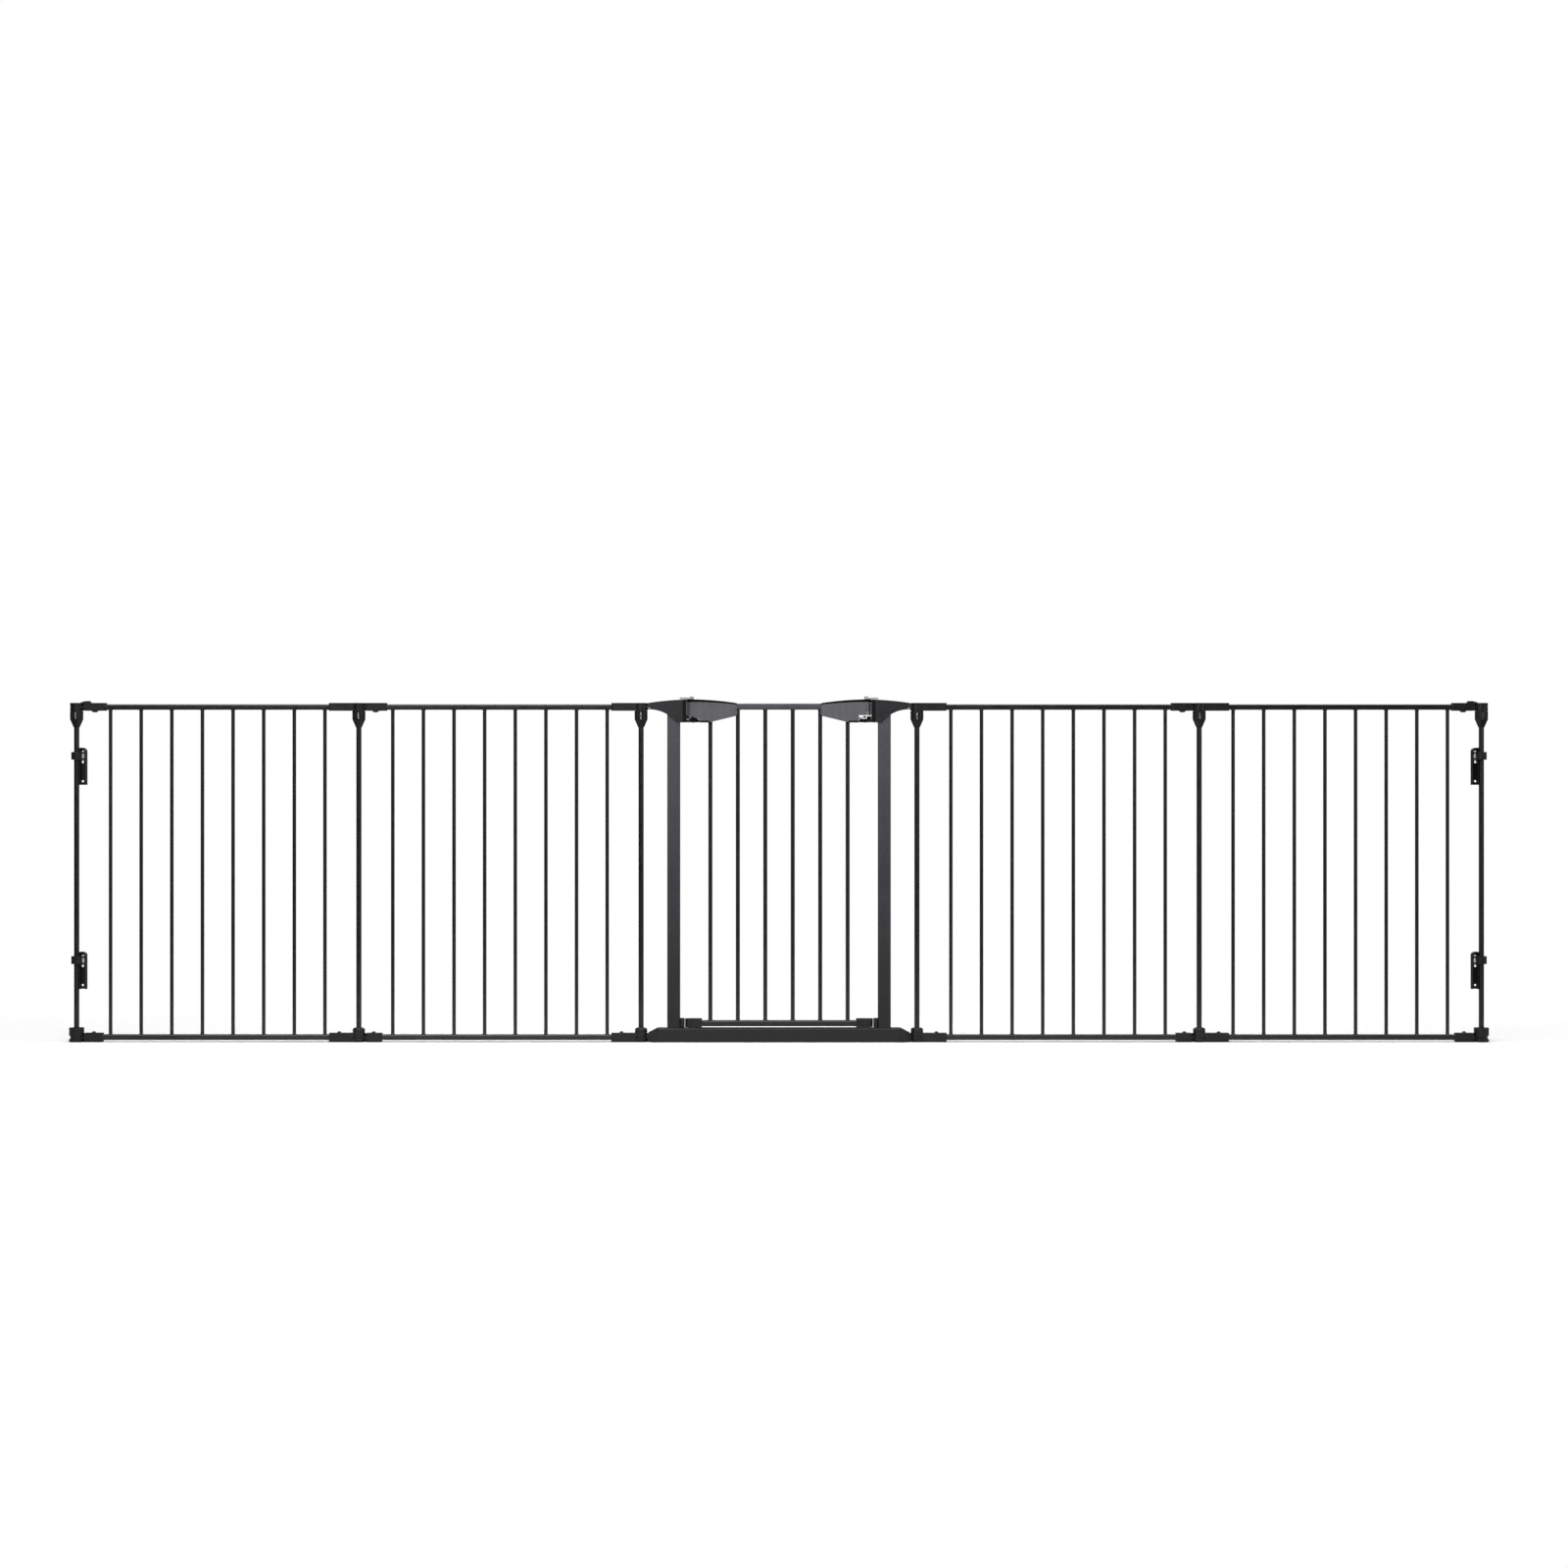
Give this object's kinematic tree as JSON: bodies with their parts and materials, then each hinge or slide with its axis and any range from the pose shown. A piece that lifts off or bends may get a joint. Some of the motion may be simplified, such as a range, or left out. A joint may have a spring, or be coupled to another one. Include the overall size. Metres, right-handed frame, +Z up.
{
  "type": "safety baby gate",
  "caption": "Long black metal safety gate: a lift and swing door in a steel frame, folding barred panels on both sides, lock sleeves at the joints and wall brackets on the end poles.",
  "frame": {"origin": "on the floor under the middle of the door, half way through the gate's depth", "axes": "+X along the gate to the latch side, +Y through the gate away from the viewer, +Z up"},
  "size_m": [3.129, 0.036, 0.761],
  "materials": {
    "panel_coat": "satin black powder coat",
    "frame_coat": "satin dark grey powder coat",
    "black_plastic": "fine-textured black moulding",
    "cap_plastic": "fine-textured black moulding",
    "housing_plastic": "satin grey moulding",
    "slider_plastic": "satin light grey moulding",
    "zinc_steel": "bright zinc plate",
    "nylon": "natural nylon"
  },
  "bodies": {
    "gate_frame": {"left_post": "frame_coat", "left_threshold_end": "black_plastic", "left_post_cap": "cap_plastic", "right_post": "frame_coat", "right_threshold_end": "black_plastic", "right_post_cap": "cap_plastic", "threshold_bar": "frame_coat", "hinge_bracket": "panel_coat", "latch_keeper": "panel_coat", "lower_hinge_pin": "zinc_steel", "stop_blocks": "black_plastic"},
    "bushes": {"hinge_bushes": "nylon"},
    "door": {"door_top_rail": "frame_coat", "door_bottom_rail": "panel_coat", "door_bars": "panel_coat", "door_feet": "black_plastic", "hinge_housing_front": "housing_plastic", "hinge_housing_rear": "housing_plastic", "latch_housing_front": "housing_plastic", "latch_housing_rear": "housing_plastic"},
    "hinge_slider": {"hinge_slider": "slider_plastic"},
    "latch_slider": {"latch_slider": "slider_plastic"},
    "left_inner_panel": {"left_inner_rails": "panel_coat", "left_inner_bars": "panel_coat", "left_inner_hub_arms": "black_plastic", "left_inner_tongue_arms": "black_plastic", "left_inner_pole": "panel_coat"},
    "left_outer_panel": {"left_outer_rails": "panel_coat", "left_outer_bars": "panel_coat", "left_outer_hub_arms": "black_plastic", "left_outer_tongue_arms": "black_plastic", "left_middle_pole": "panel_coat"},
    "left_end": {"left_end_pole": "panel_coat", "left_end_hubs": "black_plastic"},
    "left_inner_lock": {"left_inner_lock_sleeve": "black_plastic"},
    "left_middle_lock": {"left_middle_lock_sleeve": "black_plastic"},
    "left_end_lock": {"left_end_lock_sleeve": "black_plastic"},
    "left_upper_bracket": {"left_upper_wall_bracket": "black_plastic", "left_upper_bracket_bolt": "zinc_steel"},
    "left_lower_bracket": {"left_lower_wall_bracket": "black_plastic", "left_lower_bracket_bolt": "zinc_steel"},
    "right_inner_panel": {"right_inner_rails": "panel_coat", "right_inner_bars": "panel_coat", "right_inner_hub_arms": "black_plastic", "right_inner_tongue_arms": "black_plastic", "right_inner_pole": "panel_coat"},
    "right_outer_panel": {"right_outer_rails": "panel_coat", "right_outer_bars": "panel_coat", "right_outer_hub_arms": "black_plastic", "right_outer_tongue_arms": "black_plastic", "right_middle_pole": "panel_coat"},
    "right_end": {"right_end_pole": "panel_coat", "right_end_hubs": "black_plastic"},
    "right_inner_lock": {"right_inner_lock_sleeve": "black_plastic"},
    "right_middle_lock": {"right_middle_lock_sleeve": "black_plastic"},
    "right_end_lock": {"right_end_lock_sleeve": "black_plastic"},
    "right_upper_bracket": {"right_upper_wall_bracket": "black_plastic", "right_upper_bracket_bolt": "zinc_steel"},
    "right_lower_bracket": {"right_lower_wall_bracket": "black_plastic", "right_lower_bracket_bolt": "zinc_steel"}
  },
  "joints": [
    {"name": "left_inner_fold", "type": "hinge", "parent": "gate_frame", "child": "left_inner_panel", "pos_m": [-0.304, 0, 0], "axis": [0, 0, 1], "range_deg": [-105, 105]},
    {"name": "left_outer_fold", "type": "hinge", "parent": "left_inner_panel", "child": "left_outer_panel", "pos_m": [-0.926, 0, 0], "axis": [0, 0, -1], "range_deg": [-105, 105]},
    {"name": "left_end_swivel", "type": "hinge", "parent": "left_outer_panel", "child": "left_end", "pos_m": [-1.548, 0, 0], "axis": [0, 0, 1], "range_deg": [-90, 90]},
    {"name": "left_inner_lock_pull", "type": "slide", "parent": "left_inner_panel", "child": "left_inner_lock", "axis": [0, 0, -1], "range_m": [0, 0.008], "stiffness_N_per_m": 300, "springref_m": -0.005},
    {"name": "left_middle_lock_pull", "type": "slide", "parent": "left_outer_panel", "child": "left_middle_lock", "axis": [0, 0, -1], "range_m": [0, 0.008], "stiffness_N_per_m": 300, "springref_m": -0.005},
    {"name": "left_end_lock_pull", "type": "slide", "parent": "left_end", "child": "left_end_lock", "axis": [0, 0, -1], "range_m": [0, 0.008], "stiffness_N_per_m": 300, "springref_m": -0.005},
    {"name": "left_upper_bracket_swivel", "type": "hinge", "parent": "left_end", "child": "left_upper_bracket", "pos_m": [-1.548, 0, 0], "axis": [0, 0, 1], "range_deg": [-90, 90]},
    {"name": "left_lower_bracket_swivel", "type": "hinge", "parent": "left_end", "child": "left_lower_bracket", "pos_m": [-1.548, 0, 0], "axis": [0, 0, 1], "range_deg": [-90, 90]},
    {"name": "right_inner_fold", "type": "hinge", "parent": "gate_frame", "child": "right_inner_panel", "pos_m": [0.304, 0, 0], "axis": [0, 0, 1], "range_deg": [-105, 105]},
    {"name": "right_outer_fold", "type": "hinge", "parent": "right_inner_panel", "child": "right_outer_panel", "pos_m": [0.926, 0, 0], "axis": [0, 0, -1], "range_deg": [-105, 105]},
    {"name": "right_end_swivel", "type": "hinge", "parent": "right_outer_panel", "child": "right_end", "pos_m": [1.548, 0, 0], "axis": [0, 0, 1], "range_deg": [-90, 90]},
    {"name": "right_inner_lock_pull", "type": "slide", "parent": "right_inner_panel", "child": "right_inner_lock", "axis": [0, 0, -1], "range_m": [0, 0.008], "stiffness_N_per_m": 300, "springref_m": -0.005},
    {"name": "right_middle_lock_pull", "type": "slide", "parent": "right_outer_panel", "child": "right_middle_lock", "axis": [0, 0, -1], "range_m": [0, 0.008], "stiffness_N_per_m": 300, "springref_m": -0.005},
    {"name": "right_end_lock_pull", "type": "slide", "parent": "right_end", "child": "right_end_lock", "axis": [0, 0, -1], "range_m": [0, 0.008], "stiffness_N_per_m": 300, "springref_m": -0.005},
    {"name": "right_upper_bracket_swivel", "type": "hinge", "parent": "right_end", "child": "right_upper_bracket", "pos_m": [1.548, 0, 0], "axis": [0, 0, 1], "range_deg": [-90, 90]},
    {"name": "right_lower_bracket_swivel", "type": "hinge", "parent": "right_end", "child": "right_lower_bracket", "pos_m": [1.548, 0, 0], "axis": [0, 0, 1], "range_deg": [-90, 90]},
    {"name": "door_lift", "type": "slide", "parent": "gate_frame", "child": "bushes", "axis": [0, 0, 1], "range_m": [0, 0.01]},
    {"name": "door_swing", "type": "hinge", "parent": "bushes", "child": "door", "pos_m": [-0.1885, 0, 0], "axis": [0, 0, 1], "range_deg": [-90, 90]},
    {"name": "latch_slide", "type": "slide", "parent": "door", "child": "latch_slider", "axis": [1, 0, 0], "range_m": [0, 0.007]},
    {"name": "lift_lock_slide", "type": "slide", "parent": "door", "child": "hinge_slider", "axis": [1, 0, 0], "range_m": [-0.007, 0]}
  ]
}
